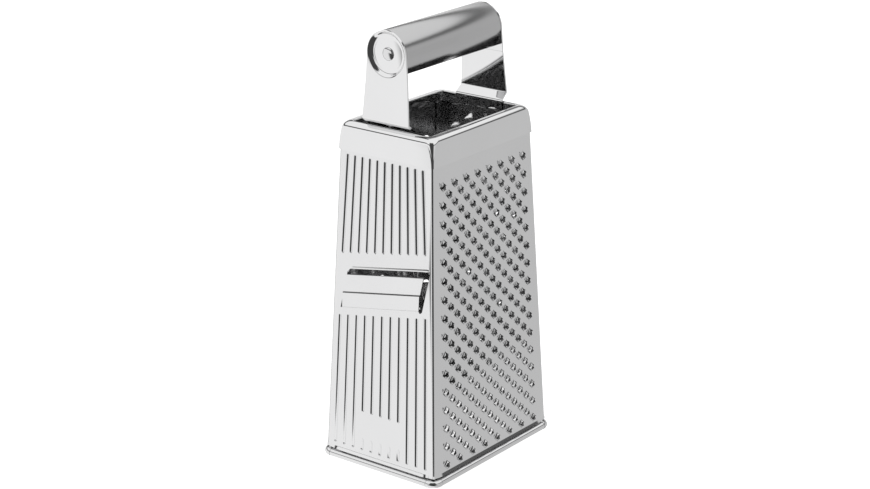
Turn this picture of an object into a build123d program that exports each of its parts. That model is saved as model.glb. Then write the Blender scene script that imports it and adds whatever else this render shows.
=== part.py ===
from build123d import *
from math import atan, cos, degrees, radians, sin, tan
import os

# A four-sided steel box grater. Four punched sheet panels stand in a beaded foot frame and close under a
# pressed collar. Two cranked brackets are welded inside the neck and hold a tube grip on a peened rod.
# X runs along the grip, Y across it and Z up, in millimetres. The origin is on the table under the middle.

# Whole object: the height over the grip, how much of it the handle takes, and the footprint over the bead
total_height = 250.0
handle_height = 54.1
base_length = 111.6
base_width = 83.0

# Body: the outside of the four panels, carried on to the collar's top
body_top_length = 87.2
body_top_width = 62.9
sheet = 0.7
lap_fit = 0.05
overrun = 3.0
corner_chords = 3

# Foot frame: a bead of flats that rests on one of them, and a web that the panels are welded round
bead_diameter = 4.3
bead_overhang = 3.0
bead_sides = 12
bead_corner_radius = 7.0
rim_sheet = 0.7
rim_web_height = 9.3
rim_gap = 0.1

# Flare: each panel's bottom edge is bent out over the bead and runs on straight
flare_radius = 0.8
flare_turn = 40.0
flare_length = 1.6
flare_gap = 0.45

# Panels: how far they reach up under the collar, how the narrow ones lap behind the wide ones
collar_lap = 7.4
edge_reveal = 0.25
flange_depth = 4.5
flange_bend_radius = 1.0
flange_start = 10.0

# Collar: skirt, shoulder, turned-in lip, and the notches that the brackets pass through
collar_height = 15.8
collar_sheet = 0.7
collar_fit = 0.1
collar_corner_radius = 1.3
collar_neck_corner_radius = 4.6
shoulder_radius = 3.6
shoulder_steps = 3
opening_length = 79.6
opening_width = 52.8
opening_corner_radius = 2.2
lip_depth = 6.3
lip_edge_chamfer = 0.5
notch_side_gap = 0.5
notch_depth = 0.9

# Brackets: strip, crank over the collar's rim, welded tab, and the dished seat for the grip. Rises and drops
# are measured from the collar's top
bracket_sheet = 1.0
bracket_span = 85.8
bracket_shoulder_width = 31.4
bracket_foot_width = 32.0
bracket_bend_radius = 1.6
bracket_splay = 1.6
crank_top_rise = 4.1
crank_bottom_rise = 0.7
foot_drop = 5.7
tab_top_drop = 9.3
tab_bottom_drop = 15.3
tab_corner_radius = 2.0
weld_fit = 0.1
dish_wall = 0.8
dish_depth = 1.7

# Grip tube and the peened rod through it
grip_diameter = 26.3
grip_wall = 0.8
grip_end_gap = 0.1
dish_fit = 0.15
rod_diameter = 5.0
rod_fit = 0.1
rod_head_diameter = 7.0
rod_head_height = 1.2

# Fine grating face: rows of punched crowns, every second row set between the others
fine_rows = 16
fine_columns = 8
fine_foot_margin = 5.7
fine_neck_margin = 11.9
fine_pitch_foot = 11.69
fine_pitch_neck = 10.38
fine_crown_width = 4.2
fine_rim_width = 2.3
fine_hole_width = 3.2
fine_crown_height = 1.45

# Coarse grating face: raised scoops, each with its cutting edge and hole on the upper side
coarse_rows = 6
coarse_columns = 5
coarse_foot_margin = 14.0
coarse_neck_margin = 13.0
coarse_pitch_foot = 17.6
coarse_pitch_neck = 15.2
scoop_width = 9.6
scoop_length = 9.6
scoop_rise = 2.4
scoop_flat_width = 5.0
scoop_hole = 2.8
scoop_hole_flat_width = 5.4

# Zester face: small punched points
zest_rows = 6
zest_columns = 4
zest_foot_margin = 12.0
zest_neck_margin = 25.0
zest_pitch_foot = 15.4
zest_pitch_neck = 12.8
zest_point_width = 3.6
zest_rim_width = 1.4
zest_hole_width = 2.4
zest_point_height = 1.1

# Slicer face: grooves in two fans, the slanted slot with its turned-in lip, and the lanced blade tab
groove_count = 11
groove_short_count = 5
groove_width = 2.1
groove_depth = 0.35
groove_end_length = 1.1
groove_pitch_foot = 6.45
groove_pitch_below_slot = 6.01
groove_pitch_above_slot = 5.74
groove_pitch_neck = 5.17
grooves_foot = 5.4
grooves_below_slot = 86.0
grooves_above_slot = 123.0
grooves_neck_margin = 2.7
grooves_bare_top = 28.3
grooves_stub_top = 10.7
slot_tilt = 10.0
slot_lean = 12.0
blade_foot_offset = -2.2
blade_foot = 90.3
blade_length = 54.4
blade_ramp = 9.5
blade_reach = 20.9
blade_rise = 1.6
blade_bevel = 1.2
blade_edge = 0.15
blade_fold_step = 0.1
slit_width = 2.2
slot_gap = 4.6
slot_corner_radius = 2.0
slot_lip_radius = 2.0

# Values worked out from the sizes above
bead_radius = bead_diameter / 2
body_base_length = base_length - 2 * bead_overhang
body_base_width = base_width - 2 * bead_overhang
body_bottom = bead_diameter + rim_gap
collar_top = total_height - handle_height
collar_bottom = collar_top - collar_height
lean_long = atan((body_base_length - body_top_length) / 2 / (collar_top - body_bottom))
lean_wide = atan((body_base_width - body_top_width) / 2 / (collar_top - body_bottom))
sheet_long = sheet / cos(lean_long)
sheet_wide = sheet / cos(lean_wide)
panel_top = collar_bottom + collar_lap
grip_radius = grip_diameter / 2
grip_height = total_height - grip_radius
wide_face_height = (collar_bottom - body_bottom) / cos(lean_wide)
narrow_face_height = (collar_bottom - body_bottom) / cos(lean_long)


def half_length(z):
    """Half the body's outside length at a height."""
    return body_base_length / 2 - (z - body_bottom) * tan(lean_long)


def half_width(z):
    """Half the body's outside width at a height."""
    return body_base_width / 2 - (z - body_bottom) * tan(lean_wide)


def tapered_block(z_low, z_high, limits, corner_radius=0):
    """A block between two heights. limits(z) gives its low and high x and its low and high y there."""
    sections = []
    for z in (z_low, z_high):
        x_low, x_high, y_low, y_high = limits(z)
        middle = Pos((x_low + x_high) / 2, (y_low + y_high) / 2, z)
        outline = middle * Rectangle(x_high - x_low, y_high - y_low)
        sections.append(fillet(outline.vertices(), corner_radius) if corner_radius else outline)
    return loft(sections, ruled=True)


def frame_outline(length, width, radius, z):
    """The face of a rectangle whose round corners are drawn in chords."""
    points = []
    for corner in range(4):
        middle_x = (length / 2 - radius) * (1 if corner in (0, 3) else -1)
        middle_y = (width / 2 - radius) * (1 if corner in (0, 1) else -1)
        for step in range(corner_chords + 1):
            angle = radians(90) * (corner + step / corner_chords)
            points.append((middle_x + radius * cos(angle), middle_y + radius * sin(angle)))
    return Pos(0, 0, z) * make_face(Polyline(*points, close=True))


# Face planes: x runs across the face, y up its slope from the foot, and z points outwards

front_face = Plane(
    origin=(0, -half_width(body_bottom), body_bottom),
    x_dir=(1, 0, 0),
    z_dir=(0, -cos(lean_wide), sin(lean_wide)),
)
left_face = Plane(
    origin=(-half_length(body_bottom), 0, body_bottom),
    x_dir=(0, -1, 0),
    z_dir=(-cos(lean_long), 0, sin(lean_long)),
)


flare_bend_drop = (flare_radius + sheet_long) * sin(radians(flare_turn))
flare_top = bead_diameter + flare_gap + flare_bend_drop + flare_length * cos(radians(flare_turn))


def flare_profile(edge, thickness):
    """Section of a flared bottom edge, drawn outwards along x from the panel's outside at edge."""
    arc_center = (edge + flare_radius, flare_top)
    outer = CenterArc(arc_center, flare_radius, 180, flare_turn)
    inner = CenterArc(arc_center, flare_radius + thickness, 180, flare_turn)
    outer_run = Line(outer @ 1, outer @ 1 + outer % 1 * flare_length)
    inner_run = Line(inner @ 1, inner @ 1 + inner % 1 * flare_length)
    ends = [Line(outer @ 0, inner @ 0), Line(outer_run @ 1, inner_run @ 1)]
    return make_face([outer, inner, outer_run, inner_run] + ends)


# Wide panels: flat plates that lap over the narrow panels' bent-in flanges


def wide_plate():
    """Front plate with its flared foot, before punching."""

    def plate_limits(z):
        reach = half_length(z) - edge_reveal
        return -reach, reach, -half_width(z), sheet_wide - half_width(z)

    def flare_limits(z):
        reach = half_length(z) - edge_reveal
        return -reach, reach, -base_width, 0

    plate = tapered_block(flare_top, panel_top, plate_limits)
    section = Plane.YZ * Rot(0, 180, 0) * flare_profile(half_width(flare_top), sheet_wide)
    flare = extrude(section, amount=base_length / 2, both=True)
    return plate + (flare & tapered_block(0, flare_top, flare_limits))


def pattern_places(rows, columns, foot, neck, pitch_foot, pitch_neck):
    """Places on a face in rows from foot to neck, with rows of one fewer set half way between them."""
    places = []
    for step in range(2 * rows - 1):
        share = step / (2 * rows - 2)
        height = foot + share * (neck - foot)
        pitch = pitch_foot + share * (pitch_neck - pitch_foot)
        count = columns - step % 2
        for column in range(count):
            places.append(Pos((column - (count - 1) / 2) * pitch, height))
    return places


def coupon(size, raised, hole):
    """One punch made in a square of sheet whose outside lies in the XY plane."""
    square = extrude(Rectangle(size, size), amount=-sheet)
    return square + raised - hole


def punched(blank, face_plane, struck, size, places):
    """The blank with one struck coupon's punch repeated at places: its skins are opened and sewn to it."""

    def outwards(face):
        return face_plane.to_local_coords(face.center()).Z

    def at_height(face, height):
        flat = face.geom_type == GeomType.PLANE and abs(face.normal_at().Z) > cos(lean_long)
        return flat and abs(face.center().Z - height) < lap_fit

    def on_border(face):
        return all(max(abs(v.X), abs(v.Y)) > size / 2 - lap_fit for v in face.vertices())

    outside = [f for f in struck.faces() if at_height(f, 0) and f.inner_wires()][0]
    inside = [f for f in struck.faces() if at_height(f, -sheet) and f.inner_wires()][0]
    kept = [f for f in struck.faces() if not (at_height(f, 0) or at_height(f, -sheet) or on_border(f))]
    skins = sorted(blank.faces(), key=lambda f: f.area)
    outer_skin, inner_skin = sorted(skins[-2:], key=outwards, reverse=True)
    spots = [face_plane * place for place in places]
    opened = [
        Face(outer_skin.outer_wire(), [spot * outside.inner_wires()[0] for spot in spots]),
        Face(inner_skin.outer_wire(), [spot * inside.inner_wires()[0] for spot in spots]),
    ]
    struck_faces = [spot * f for spot in spots for f in kept]
    return Solid(Shell(skins[:-2] + opened + struck_faces))


def crown(width, rim_width, height):
    """A punched crown: a square pyramid that stands on its corner, before its hole is cut."""
    apex = height / (1 - rim_width / width)
    square = Rot(0, 0, 45) * Rectangle(width, width)
    return extrude(square, amount=(height + apex) / 2, taper=degrees(atan(width / 2 / apex)))


def crown_hole(inner_width, rim_width, height):
    """The hole that narrows through a crown to its sharp rim."""
    reach = sheet + height
    narrowing = degrees(atan((inner_width - rim_width) / 2 / reach))
    square = Pos(0, 0, -sheet) * Rot(0, 0, 45) * Rectangle(inner_width, inner_width)
    return extrude(square, amount=2 * reach, taper=narrowing)


def fine_grating_panel():
    pattern = (
        fine_rows,
        fine_columns,
        fine_foot_margin,
        wide_face_height - fine_neck_margin,
        fine_pitch_foot,
        fine_pitch_neck,
    )
    size = 2 * fine_crown_width
    raised = crown(fine_crown_width, fine_rim_width, fine_crown_height)
    hole = crown_hole(fine_hole_width, fine_rim_width, fine_crown_height)
    struck = coupon(size, raised, hole)
    return punched(wide_plate(), front_face, struck, size, pattern_places(*pattern))


def scoop():
    """A raised scoop that widens up the face to its cutting edge, before it is hollowed."""
    mouth = Plane.XZ * make_face(
        Polyline(
            (-scoop_width / 2, 0),
            (-scoop_flat_width / 2, scoop_rise),
            (scoop_flat_width / 2, scoop_rise),
            (scoop_width / 2, 0),
            close=True,
        )
    )
    return loft([mouth, Vertex(0, -scoop_length, 0)])


def scoop_hollow():
    """The scoop's inside and the hole above its cutting edge, through the sheet."""
    wall_share = sheet / scoop_rise
    inner_width = scoop_width * (1 - wall_share / 2)
    inner_flat = scoop_flat_width
    mouth = Plane.XZ * make_face(
        Polyline(
            (-inner_width / 2, -sheet),
            (-inner_flat / 2, scoop_rise - sheet),
            (inner_flat / 2, scoop_rise - sheet),
            (inner_width / 2, -sheet),
            close=True,
        )
    )
    hollow = loft([mouth, Vertex(0, -scoop_length, -sheet)])
    outline = Polyline(
        (-inner_width / 2, 0),
        (-scoop_hole_flat_width / 2, scoop_hole),
        (scoop_hole_flat_width / 2, scoop_hole),
        (inner_width / 2, 0),
        close=True,
    )
    hole = extrude(Pos(0, 0, -sheet) * make_face(outline), amount=sheet + scoop_rise)
    return hollow, hole


def coarse_grating_panel():
    pattern = (
        coarse_rows,
        coarse_columns,
        coarse_foot_margin,
        wide_face_height - coarse_neck_margin,
        coarse_pitch_foot,
        coarse_pitch_neck,
    )
    hollow, hole = scoop_hollow()
    size = 2 * (scoop_width + scoop_length)
    struck = coupon(size, scoop(), hollow + hole)
    return Rot(0, 0, 180) * punched(wide_plate(), front_face, struck, size, pattern_places(*pattern))


# Narrow panels: shallow channels whose side edges are bent in behind the wide panels


def narrow_plate():
    """Left plate with its bent-in side edges and flared foot, before punching."""

    def web_reach(z):
        return half_width(z) - sheet_wide - lap_fit

    def outside_limits(z):
        return -half_length(z), half_length(z), -web_reach(z), web_reach(z)

    def inside_limits(z):
        reach = web_reach(z) - sheet_wide
        return sheet_long - half_length(z), base_length, -reach, reach

    def cut_limits(z):
        return flange_depth - half_length(z), base_length, -base_width, base_width

    def web_limits(z):
        return -half_length(z), sheet_long - half_length(z), -web_reach(z), web_reach(z)

    def flare_limits(z):
        return -base_length, 0, -web_reach(z), web_reach(z)

    channel = tapered_block(flange_start, panel_top, outside_limits, flange_bend_radius)
    for limits in (inside_limits, cut_limits):
        channel -= tapered_block(flange_start - overrun, panel_top + overrun, limits)
    web = tapered_block(flare_top, flange_start, web_limits)
    section = Plane.XZ * Rot(0, 180, 0) * flare_profile(half_length(flare_top), sheet_long)
    flare = extrude(section, amount=base_width / 2, both=True)
    return channel + web + (flare & tapered_block(0, flare_top, flare_limits))


def zester_panel():
    places = pattern_places(
        zest_rows,
        zest_columns,
        zest_foot_margin,
        narrow_face_height - zest_neck_margin,
        zest_pitch_foot,
        zest_pitch_neck,
    )
    size = 2 * zest_point_width
    point = crown(zest_point_width, zest_rim_width, zest_point_height)
    struck = coupon(size, point, crown_hole(zest_hole_width, zest_rim_width, zest_point_height))
    return Rot(0, 0, 180) * punched(narrow_plate(), left_face, struck, size, places)


# Slicer face: grooves that keep the food from clinging to the sheet, and the slanted blade


def groove(foot, neck):
    """The hollow of one groove between two points of the slicer face, with pointed ends."""
    first, last = Vector(*foot), Vector(*neck)
    along = (last - first).normalized()
    side = Vector(-along.Y, along.X) * groove_width / 2
    near, far = first + along * groove_end_length, last - along * groove_end_length
    outline = Polyline(first, near - side, far - side, last, far + side, near + side, close=True)
    return mirror(extrude(make_face(outline), amount=groove_depth, taper=45), about=Plane.XY)


def grooves():
    """Both fans of grooves. The lower ends above the slot and the upper ends below it follow its slant."""
    slant = tan(radians(slot_tilt))
    grooves_neck = narrow_face_height - grooves_neck_margin
    made = []
    for number in range(groove_count):
        place = number - (groove_count - 1) / 2
        foot_x, below_x = place * groove_pitch_foot, place * groove_pitch_below_slot
        above_x, neck_x = place * groove_pitch_above_slot, place * groove_pitch_neck
        made.append(groove((above_x, grooves_above_slot + above_x * slant), (neck_x, grooves_neck)))
        below_y = grooves_below_slot + below_x * slant
        if abs(place) > groove_short_count / 2:
            made.append(groove((foot_x, grooves_foot), (below_x, below_y)))
        else:
            share = (grooves_bare_top - grooves_foot) / (below_y - grooves_foot)
            bare_x = foot_x + share * (below_x - foot_x)
            made.append(groove((bare_x, grooves_bare_top), (below_x, below_y)))
            made.append(groove((foot_x, grooves_foot), (foot_x, grooves_stub_top)))
    return made


def slot_point(along, up):
    """A point of the slicer face: along the blade, and up its leaning sides, from its fold's middle."""
    tilt, lean = radians(slot_tilt), radians(slot_lean)
    x = blade_foot_offset + along * cos(tilt) + up * sin(lean)
    return x, blade_foot + along * sin(tilt) + up * cos(lean)


def slot_shape(reach, low, high):
    """A leaning four-sided outline that reaches as far to each side, between two distances up."""
    corners = [slot_point(-reach, low), slot_point(reach, low), slot_point(reach, high)]
    return make_face(Polyline(*corners, slot_point(-reach, high), close=True))


def slicer_panel():
    blade_half = blade_length / 2
    square_up = cos(radians(slot_tilt + slot_lean))
    ramp, reach = blade_ramp * square_up, blade_reach * square_up
    top = (blade_reach + slot_gap) * square_up
    blade_fold = left_face * Pos(blade_foot_offset, blade_foot) * Rot(0, 0, slot_tilt)
    blade_plane = blade_fold * Plane.YZ.location

    window = slot_shape(blade_half + slit_width, 0, blade_reach + slot_gap)
    window = fillet(window.vertices(), slot_corner_radius) - slot_shape(blade_half, -overrun, blade_reach)
    window = left_face * extrude(Pos(0, 0, -sheet - overrun) * window, amount=sheet + 2 * overrun)

    outline = Polyline(
        (-sheet, 0),
        (0, 0),
        (ramp, blade_rise),
        (reach - blade_bevel, blade_rise),
        (reach, blade_rise - sheet + blade_edge),
        (reach, blade_rise - sheet),
        (ramp + blade_fold_step, blade_rise - sheet),
        (blade_fold_step, -sheet),
        (-sheet, -sheet),
        close=True,
    )
    blade = extrude(blade_plane * make_face(outline), amount=blade_length, both=True)
    room = slot_shape(blade_half, -overrun, blade_reach + overrun)
    blade &= left_face * extrude(Pos(0, 0, -overrun) * room, amount=2 * overrun)

    curl_center = (top, -slot_lip_radius)
    outer = CenterArc(curl_center, slot_lip_radius, 90, 90)
    inner = CenterArc(curl_center, slot_lip_radius - sheet, 90, 90)
    curl = make_face([outer, inner, Line(outer @ 0, inner @ 0), Line(outer @ 1, inner @ 1)])
    lip_half = blade_half + slit_width - slot_corner_radius
    lip_shift = (blade_reach + slot_gap) * sin(radians(slot_tilt + slot_lean))
    lip = extrude(blade_plane * Pos(0, 0, lip_shift) * curl, amount=lip_half, both=True)

    plate = narrow_plate() - [left_face * one for one in grooves()]
    return plate - window + blade + lip


# Foot frame


def rim_outline(reach, z):
    """The rim's outline, moved outwards by reach from the bead's centre line."""
    length, width = base_length - bead_diameter + 2 * reach, base_width - bead_diameter + 2 * reach
    return frame_outline(length, width, bead_corner_radius - bead_radius + reach, z)


def bead_side(direction):
    """The filled form inside the bead's outward (1) or inward (-1) half, through the bead's edges."""
    edge_radius = bead_radius / cos(radians(180) / bead_sides)
    sections = []
    for step in range(bead_sides // 2):
        angle = radians(360) * (step + 1 / 2) / bead_sides - radians(90)
        reach = direction * edge_radius * cos(angle)
        sections.append(rim_outline(reach, bead_radius + edge_radius * sin(angle)))
    return loft(sections, ruled=True)


def base_rim():
    """The bead, and the web that stands inside the panels on a shelf in the bead."""
    inset_x = half_length(rim_web_height) - sheet_long - lap_fit - (base_length / 2 - bead_radius)
    inset_y = half_width(rim_web_height) - sheet_wide - lap_fit - (base_width / 2 - bead_radius)
    web_reach = min(inset_x, inset_y)
    web_inside = rim_outline(web_reach - rim_sheet, bead_radius)
    web = extrude(rim_outline(web_reach, bead_radius) - web_inside, amount=rim_web_height - bead_radius)
    shelf = extrude(rim_outline(0, bead_radius) - web_inside, amount=rim_sheet)
    return bead_side(1) - bead_side(-1) + shelf + web


# Collar


def collar_form(inset, steps):
    """The collar's filled form, set in by inset: a leaning skirt and a shoulder that turns in by steps."""
    turn = shoulder_radius - inset
    sections = []
    for step in range(-1, steps + 1):
        angle = max(step, 0) * radians(90) / steps
        height = collar_bottom if step < 0 else collar_top - shoulder_radius + turn * sin(angle)
        reach = collar_fit + collar_sheet - inset - turn * (1 - cos(angle))
        length, width = 2 * (half_length(height) + reach), 2 * (half_width(height) + reach)
        corner_radius = collar_corner_radius + (collar_neck_corner_radius - collar_corner_radius) * sin(angle)
        sections.append(frame_outline(length, width, corner_radius - inset, height))
    return loft(sections, ruled=True)


def top_collar():
    outside = collar_form(0, shoulder_steps)
    inside = collar_form(collar_sheet, shoulder_steps - 1)
    lip_bottom = collar_top - lip_depth
    mouth = frame_outline(opening_length, opening_width, opening_corner_radius, lip_bottom)
    lip = offset(mouth, amount=collar_sheet, kind=Kind.INTERSECTION)
    lip = extrude(lip, amount=lip_depth - collar_sheet / 2)
    opening = Pos(0, 0, -overrun) * extrude(mouth, amount=lip_depth + 2 * overrun)
    collar = outside - inside + lip - opening
    rim = collar.faces().sort_by(Axis.Z)[-1].inner_wires()[0]
    collar = chamfer(rim.edges(), lip_edge_chamfer)
    notch_length = opening_length + 2 * notch_depth
    notch_width = bracket_foot_width + 2 * notch_side_gap
    notch = Pos(0, 0, lip_bottom - overrun) * Rectangle(notch_length, notch_width)
    return collar - extrude(notch, amount=lip_depth + 2 * overrun)


# Handle


def right_handle_bracket():
    """A strip cranked in over the collar's rim and out again to the panel it is welded to."""
    face_x, foot_x = bracket_span / 2, opening_length / 2
    crank_top, crank_bottom = collar_top + crank_top_rise, collar_top + crank_bottom_rise
    tab_top, tab_bottom = collar_top - tab_top_drop, collar_top - tab_bottom_drop
    top_x, bottom_x = [half_length(z) - sheet_long - weld_fit for z in (tab_top, tab_bottom)]
    outside = FilletPolyline(
        (face_x, total_height),
        (face_x, grip_height - grip_radius),
        (face_x + bracket_splay, crank_top),
        (foot_x, crank_bottom),
        (foot_x, collar_top - foot_drop),
        (top_x, tab_top),
        (bottom_x, tab_bottom),
        radius=bracket_bend_radius,
    )
    strip = make_face(offset(outside, amount=bracket_sheet, side=Side.RIGHT, closed=True))
    strip = extrude(Plane.XZ * strip, amount=bracket_foot_width, both=True)

    half_foot, half_shoulder = bracket_foot_width / 2, bracket_shoulder_width / 2
    outline = make_face(
        Polyline(
            (-half_foot, tab_bottom),
            (half_foot, tab_bottom),
            (half_foot, crank_bottom),
            (half_shoulder, crank_top),
            (grip_radius, grip_height),
            (-grip_radius, grip_height),
            (-half_shoulder, crank_top),
            (-half_foot, crank_bottom),
            close=True,
        )
    )
    outline = fillet(outline.vertices().sort_by(Axis.Y)[:2], tab_corner_radius)
    outline += Pos(0, grip_height) * Circle(grip_radius)
    blank = strip & extrude(Plane.YZ * outline, amount=base_length)

    dish_floor = dish_depth + bracket_sheet
    seat_radius = grip_radius - grip_wall - dish_fit
    hole_radius = rod_diameter / 2 + rod_fit
    to_seat = Pos(face_x, 0, grip_height) * Rot(0, 90, 0)
    boss = Pos(0, 0, -bracket_sheet / 2) * extrude(Circle(seat_radius), amount=bracket_sheet / 2 - dish_floor)
    recess = extrude(Circle(seat_radius - dish_wall), amount=-dish_depth)
    hole = extrude(Circle(hole_radius), amount=-dish_floor)
    return blank + to_seat * boss - to_seat * recess - to_seat * hole


def left_handle_bracket():
    return Rot(0, 0, 180) * right_handle_bracket()


def grip_tube():
    length = bracket_span - 2 * (bracket_sheet + grip_end_gap)
    ring = Circle(grip_radius) - Circle(grip_radius - grip_wall)
    return Pos(0, 0, grip_height) * Rot(0, 90, 0) * extrude(ring, amount=length / 2, both=True)


def tie_rod():
    """Rod through the grip with both ends peened over into heads on the dishes' floors."""
    seat = bracket_span / 2 - dish_depth + lap_fit
    rod = extrude(Circle(rod_diameter / 2), amount=seat, both=True)
    head = Pos(0, 0, seat) * extrude(Circle(rod_head_diameter / 2), amount=rod_head_height)
    return Pos(0, 0, grip_height) * Rot(0, 90, 0) * (rod + head + Rot(180, 0, 0) * head)


pieces = {
    "slicer_panel": slicer_panel,
    "fine_grating_panel": fine_grating_panel,
    "coarse_grating_panel": coarse_grating_panel,
    "zester_panel": zester_panel,
    "base_rim": base_rim,
    "top_collar": top_collar,
    "right_handle_bracket": right_handle_bracket,
    "left_handle_bracket": left_handle_bracket,
    "grip_tube": grip_tube,
    "tie_rod": tie_rod,
}

os.makedirs("parts", exist_ok=True)
for name, make in pieces.items():
    export_step(make(), f"parts/{name}.step")
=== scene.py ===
from math import atan, cos, pi, radians, sin, tan
from random import Random

import bmesh
import bpy
from mathutils import Matrix, Vector
from mathutils.geometry import delaunay_2d_cdt


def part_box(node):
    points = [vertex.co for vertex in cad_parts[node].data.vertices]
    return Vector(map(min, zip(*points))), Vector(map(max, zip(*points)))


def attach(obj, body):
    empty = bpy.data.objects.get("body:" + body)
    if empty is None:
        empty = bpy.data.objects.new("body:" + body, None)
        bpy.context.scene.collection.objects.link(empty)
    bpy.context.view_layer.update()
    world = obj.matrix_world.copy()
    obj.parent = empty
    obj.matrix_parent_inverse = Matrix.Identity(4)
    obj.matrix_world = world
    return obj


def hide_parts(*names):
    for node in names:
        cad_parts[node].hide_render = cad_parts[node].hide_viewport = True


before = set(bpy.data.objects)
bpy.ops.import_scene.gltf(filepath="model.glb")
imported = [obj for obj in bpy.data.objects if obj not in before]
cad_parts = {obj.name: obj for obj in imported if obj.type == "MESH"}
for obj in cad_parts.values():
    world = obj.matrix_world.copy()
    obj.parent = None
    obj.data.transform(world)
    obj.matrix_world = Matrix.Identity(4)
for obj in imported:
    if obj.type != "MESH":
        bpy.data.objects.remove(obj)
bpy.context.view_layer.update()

# Camera
# A long lens that stands in front of the corner between the slicing and the fine face, a little above the
# neck, and looks slightly down.

camera_azimuth = radians(-52.145)
camera_elevation = radians(19.085)
camera_roll = radians(-0.23)
camera_distance = 1.2196
aim_right = -0.00095
aim_height = 0.11917
sensor_width = 36
focal_length = 90.23

camera = bpy.data.objects.new("camera", bpy.data.cameras.new("camera"))
bpy.context.scene.collection.objects.link(camera)
bpy.context.scene.camera = camera
camera.data.sensor_width = sensor_width
camera.data.lens = focal_length
to_camera = Vector((
    sin(camera_azimuth) * cos(camera_elevation),
    -cos(camera_azimuth) * cos(camera_elevation),
    sin(camera_elevation),
))
to_right = Vector((0, 0, 1)).cross(to_camera).normalized()
camera.rotation_mode = "QUATERNION"
level = to_camera.to_track_quat("Z", "Y").to_matrix()
camera.rotation_quaternion = (level @ Matrix.Rotation(camera_roll, 3, "Z")).to_quaternion()
camera.location = Vector((0, 0, aim_height)) + to_right * aim_right + to_camera * camera_distance

# Studio
# A white sweep under an overhead light tent. A narrow gap parts the two, wider above the grey walls on the
# side of the fine face, and the side that the camera looks from is dark nearly up to the top.

bpy.context.scene.view_settings.view_transform = "Standard"
camera_side_grey = 0.06
grey_wall = 0.62
painted_back_shadow_grey = 0.10
wall_gap_grey = 0.10
open_gap_grey = 0.06

# The elevations, in degrees, between which each part of the tent begins or ends
wall_gap_start = (18, 25)
open_gap_start = (14, 19)
open_gap_end = (26, 31)
tent_start = (29, 36)
camera_side_end = (58, 70)

# Bearings across the floor, and the cosines to them between which each side begins
grey_side = (0.78, -0.62)
grey_side_start = (0.0, 0.9)
camera_side = (-0.79, -0.61)
camera_side_start = (0.75, 0.92)
floor_camera_side = (-0.85, -0.52)
floor_camera_side_start = (0.40, 0.66)
grip_side = (0.80, 0.60)
grip_side_start = (0.85, 0.97)

# Places on the floor, in metres. Inside the body's foot the floor is painted dark, as painted shade, for what
# is mirrored there more than once
near_corner = (-0.0558, -0.0415, 0)
footprint = (0.0525, 0.0382, 1)
# Where the painted shadow behind the grater fades out, in metres from its middle
painted_back_shadow_end = (0.42, 0.56)
floor_size = 6.0
most_mirrorings = 1.5
inside_grey = 0.9
painted_inside_shade_grey = 0.02
sweep_white = (0.8, 0.8, 0.8, 1)


def add_node(tree, kind, inputs, **settings):
    """Adds a shader node, each input a value or a socket to link, and gives the node's outputs."""
    node = tree.nodes.new(kind)
    for name, value in settings.items():
        setattr(node, name, value)
    for name, value in inputs.items():
        if isinstance(value, bpy.types.NodeSocket):
            tree.links.new(value, node.inputs[name])
        else:
            node.inputs[name].default_value = value
    return node.outputs


def vector_math(tree, operation, *values):
    """Adds a Vector Math node, and gives its outputs."""
    return add_node(tree, "ShaderNodeVectorMath", dict(enumerate(values)), operation=operation)


def ramp(tree, value, limits, kind="SMOOTHSTEP"):
    """How far a value has risen between two limits: 0 at the first, 1 at the second."""
    inputs = {"Value": value, "From Min": limits[0], "From Max": limits[1]}
    return add_node(tree, "ShaderNodeMapRange", inputs, interpolation_type=kind)[0]


def side_share(tree, position, side, limits):
    """How far a place lies on one side of the studio, from its bearing's cosine to that side."""
    flat = vector_math(tree, "MULTIPLY", position, (1, 1, 0))[0]
    bearing = vector_math(tree, "NORMALIZE", flat)[0]
    along = vector_math(tree, "DOT_PRODUCT", bearing, (*side, 0))
    return ramp(tree, along["Value"], limits)


def height_share(tree, height, elevations):
    """How far a direction has risen between two elevations."""
    return ramp(tree, height, [sin(radians(elevation)) for elevation in elevations])


def mixed(tree, share, low, high):
    """A grey between low and high. Each is a number or a socket."""
    return add_node(tree, "ShaderNodeMix", {"Factor": share, "A": low, "B": high}, data_type="FLOAT")[0]


world = bpy.data.worlds.new("light_tent")
bpy.context.scene.world = world
world.use_nodes = True
tree = world.node_tree
tree.nodes.clear()
direction = add_node(tree, "ShaderNodeTexCoord", {})["Generated"]
height = add_node(tree, "ShaderNodeSeparateXYZ", {0: direction})["Z"]
wall = mixed(tree, height_share(tree, height, wall_gap_start), grey_wall, wall_gap_grey)
open_gap = mixed(tree, height_share(tree, height, open_gap_start), 1.0, open_gap_grey)
open_wall = mixed(tree, height_share(tree, height, open_gap_end), open_gap, 1.0)
sides = mixed(tree, side_share(tree, direction, grey_side, grey_side_start), open_wall, wall)
under_top = mixed(tree, height_share(tree, height, tent_start), sides, 1.0)
dark = side_share(tree, direction, camera_side, camera_side_start)
dark_low = mixed(tree, height_share(tree, height, camera_side_end), dark, 0.0)
tent_light = mixed(tree, dark_low, under_top, camera_side_grey)
path = add_node(tree, "ShaderNodeLightPath", {})
seen = mixed(tree, path["Is Camera Ray"], tent_light, 1.0)
background = add_node(tree, "ShaderNodeBackground", {"Color": seen})[0]
add_node(tree, "ShaderNodeOutputWorld", {"Surface": background})

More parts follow.
